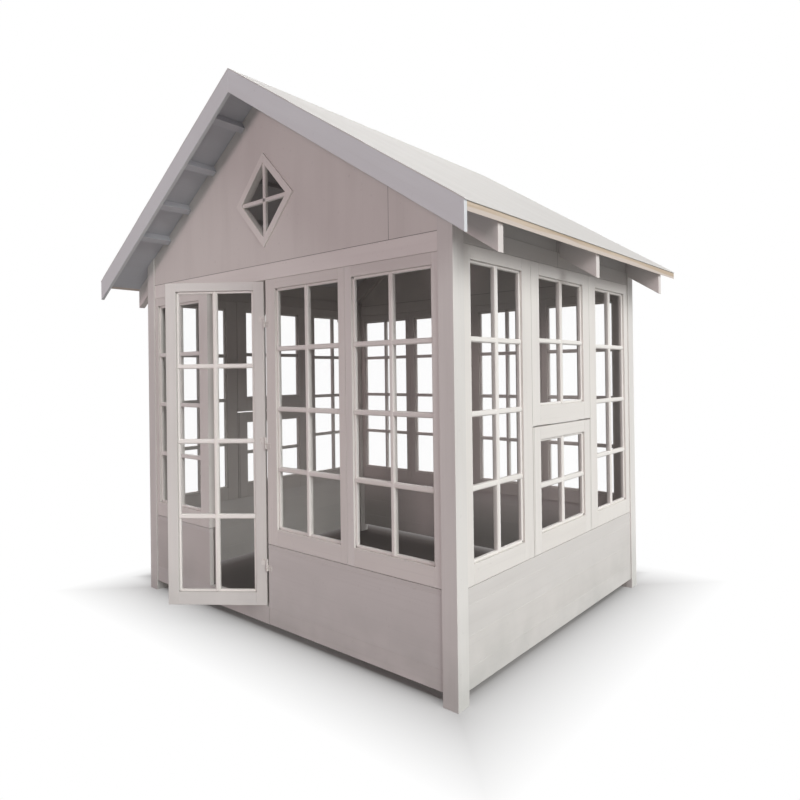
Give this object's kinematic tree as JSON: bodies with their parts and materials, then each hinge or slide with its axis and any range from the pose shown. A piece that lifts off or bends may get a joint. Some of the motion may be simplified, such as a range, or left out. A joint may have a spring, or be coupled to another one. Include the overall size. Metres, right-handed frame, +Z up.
{
  "type": "prefab wooden cabin",
  "caption": "Gable-fronted prefab wooden garden cabin with glazed walls, a hinged glazed door, a rhombus gable window and a pitched roof on rafters and purlins.",
  "frame": {"origin": "on the ground under the middle of the bounding box of the whole cabin with its door ajar", "axes": "+Z up, +Y from the front wall to the back wall, +X to the right along the front wall"},
  "size_m": [3.272, 2.8244, 3.3492],
  "materials": {
    "white_paint": "satin white paint on timber",
    "raw_pine": "unpainted sawn pine",
    "roof_paint": "matt white coated sheet",
    "clear_glass": "clear",
    "painted_steel": "white painted steel"
  },
  "bodies": {
    "cabin": {"back_gable": "white_paint", "back_glass": "clear_glass", "back_header": "white_paint", "back_sill_panel": "white_paint", "back_window": "white_paint", "barge_board_left": "white_paint", "barge_board_right": "white_paint", "door_stop": "white_paint", "door_threshold": "white_paint", "eave_battens": "raw_pine", "front_gable": "white_paint", "front_glass": "clear_glass", "front_header": "white_paint", "front_sill_panel_left": "white_paint", "front_sill_panel_right": "white_paint", "front_window_left": "white_paint", "front_window_right": "white_paint", "gable_window_frame": "white_paint", "hinge_pins": "painted_steel", "left_glass": "clear_glass", "left_sill_panel": "white_paint", "left_wall_plate": "white_paint", "left_window_back": "white_paint", "left_window_front": "white_paint", "left_window_middle": "white_paint", "post_back_left": "white_paint", "post_back_right": "white_paint", "post_front_left": "white_paint", "post_front_right": "white_paint", "purlins": "white_paint", "rafters_left": "white_paint", "rafters_right": "white_paint", "right_glass": "clear_glass", "right_sill_panel": "white_paint", "right_wall_plate": "white_paint", "right_window_back": "white_paint", "right_window_front": "white_paint", "right_window_middle": "white_paint", "roof_panel_left": "white_paint", "roof_panel_right": "white_paint", "roof_skin_left": "roof_paint", "roof_skin_right": "roof_paint"},
    "door": {"door_leaf": "white_paint", "door_glass": "clear_glass", "door_knuckles": "painted_steel"}
  },
  "joints": [
    {"name": "door_hinge", "type": "hinge", "parent": "cabin", "child": "door", "pos_m": [-0.004, -1.04784, 1.16], "axis": [0, 0, 1], "range_deg": [-37, 63]}
  ]
}
